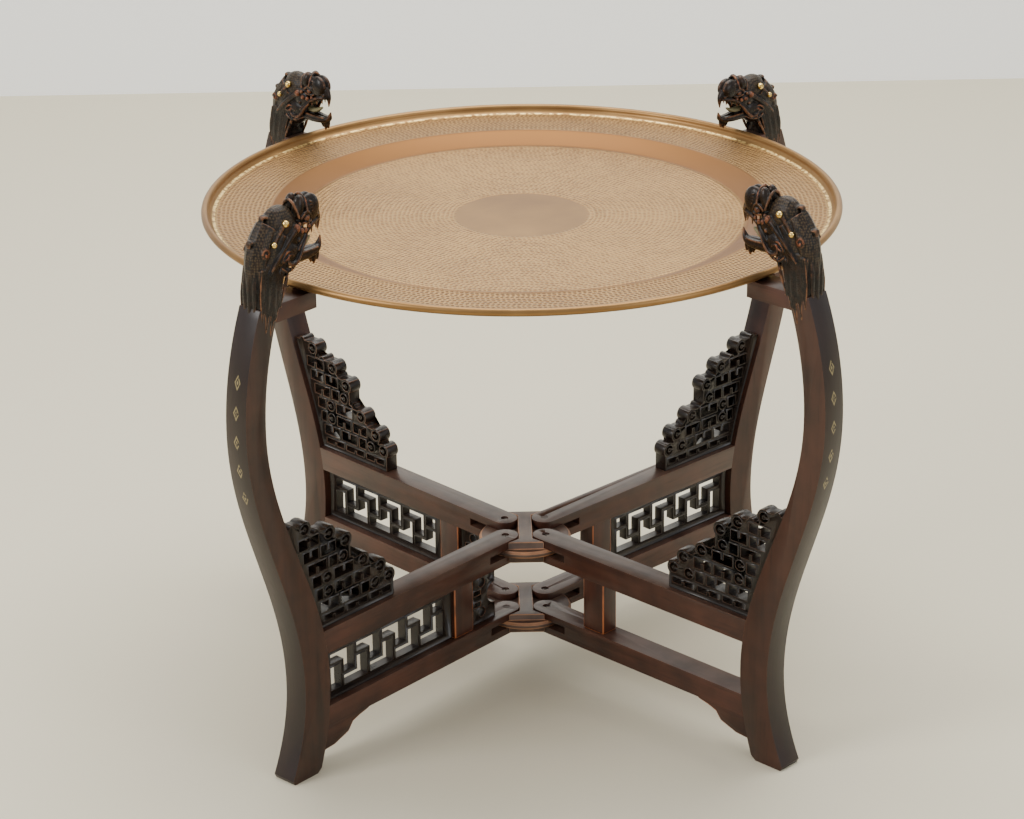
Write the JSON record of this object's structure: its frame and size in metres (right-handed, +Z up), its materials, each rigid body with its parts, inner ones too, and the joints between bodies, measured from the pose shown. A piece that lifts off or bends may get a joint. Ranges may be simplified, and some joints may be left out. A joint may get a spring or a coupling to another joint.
{
  "type": "tray table",
  "caption": "Round brass tray with a rolled rim resting on a folding carved hardwood stand with dragon-head legs and key-fret panels.",
  "frame": {"origin": "floor under the centre of the open stand", "axes": "+Z up, -Y towards the front; the legs stand on the diagonals"},
  "size_m": [0.7599, 0.76, 0.689],
  "materials": {
    "brass": "hammered, worn, satin",
    "dark wood": "oiled hardwood, worn edges",
    "red wood": "oiled hardwood, worn edges",
    "black wood": "dark polish",
    "gilding": "gilt",
    "steel": "worn"
  },
  "bodies": {
    "hubs": {"hub_upper": "dark wood", "hub_lower": "dark wood"},
    "tray": {"tray": "brass", "rim_wire": "steel"},
    "leg_front_left": {"post_front_left": "dark wood", "dragon_head_front_left": "black wood", "studs_front_left": "gilding", "ledge_front_left": "red wood", "upper_rail_front_left": "red wood", "lower_rail_front_left": "red wood", "stile_front_left": "red wood", "bracket_front_left": "black wood", "apron_front_left": "red wood", "screws_front_left": "steel", "fret_panel_front_left": "black wood", "small_fret_front_left": "black wood", "screw_plug_front_left": "dark wood"},
    "leg_front_right": {"post_front_right": "dark wood", "dragon_head_front_right": "black wood", "studs_front_right": "gilding", "ledge_front_right": "red wood", "upper_rail_front_right": "red wood", "lower_rail_front_right": "red wood", "stile_front_right": "red wood", "bracket_front_right": "black wood", "apron_front_right": "red wood", "screws_front_right": "steel"},
    "leg_back_left": {"post_back_left": "dark wood", "dragon_head_back_left": "black wood", "studs_back_left": "gilding", "ledge_back_left": "red wood", "upper_rail_back_left": "red wood", "lower_rail_back_left": "red wood", "stile_back_left": "red wood", "bracket_back_left": "black wood", "apron_back_left": "red wood", "screws_back_left": "steel", "fret_panel_back_left": "black wood", "small_fret_back_left": "black wood"},
    "leg_back_right": {"post_back_right": "dark wood", "dragon_head_back_right": "black wood", "studs_back_right": "gilding", "ledge_back_right": "red wood", "upper_rail_back_right": "red wood", "lower_rail_back_right": "red wood", "stile_back_right": "red wood", "bracket_back_right": "black wood", "apron_back_right": "red wood", "screws_back_right": "steel", "fret_panel_back_right": "black wood", "screw_plug_back_right": "dark wood"}
  },
  "joints": [
    {"name": "fold_front_left", "type": "hinge", "parent": "hubs", "child": "leg_front_left", "pos_m": [-0.025, -0.025, 0], "axis": [0, 0, -1], "range_deg": [0, 47]},
    {"name": "fold_front_right", "type": "hinge", "parent": "hubs", "child": "leg_front_right", "pos_m": [0.025, -0.025, 0], "axis": [0, 0, 1], "range_deg": [0, 45]},
    {"name": "fold_back_left", "type": "hinge", "parent": "hubs", "child": "leg_back_left", "pos_m": [-0.025, 0.025, 0], "axis": [0, 0, 1], "range_deg": [0, 47]},
    {"name": "fold_back_right", "type": "hinge", "parent": "hubs", "child": "leg_back_right", "pos_m": [0.025, 0.025, 0], "axis": [0, 0, -1], "range_deg": [0, 42]},
    {"name": "tray_lift", "type": "slide", "parent": "hubs", "child": "tray", "axis": [0, 0, 1], "range_m": [0, 0.012]}
  ]
}
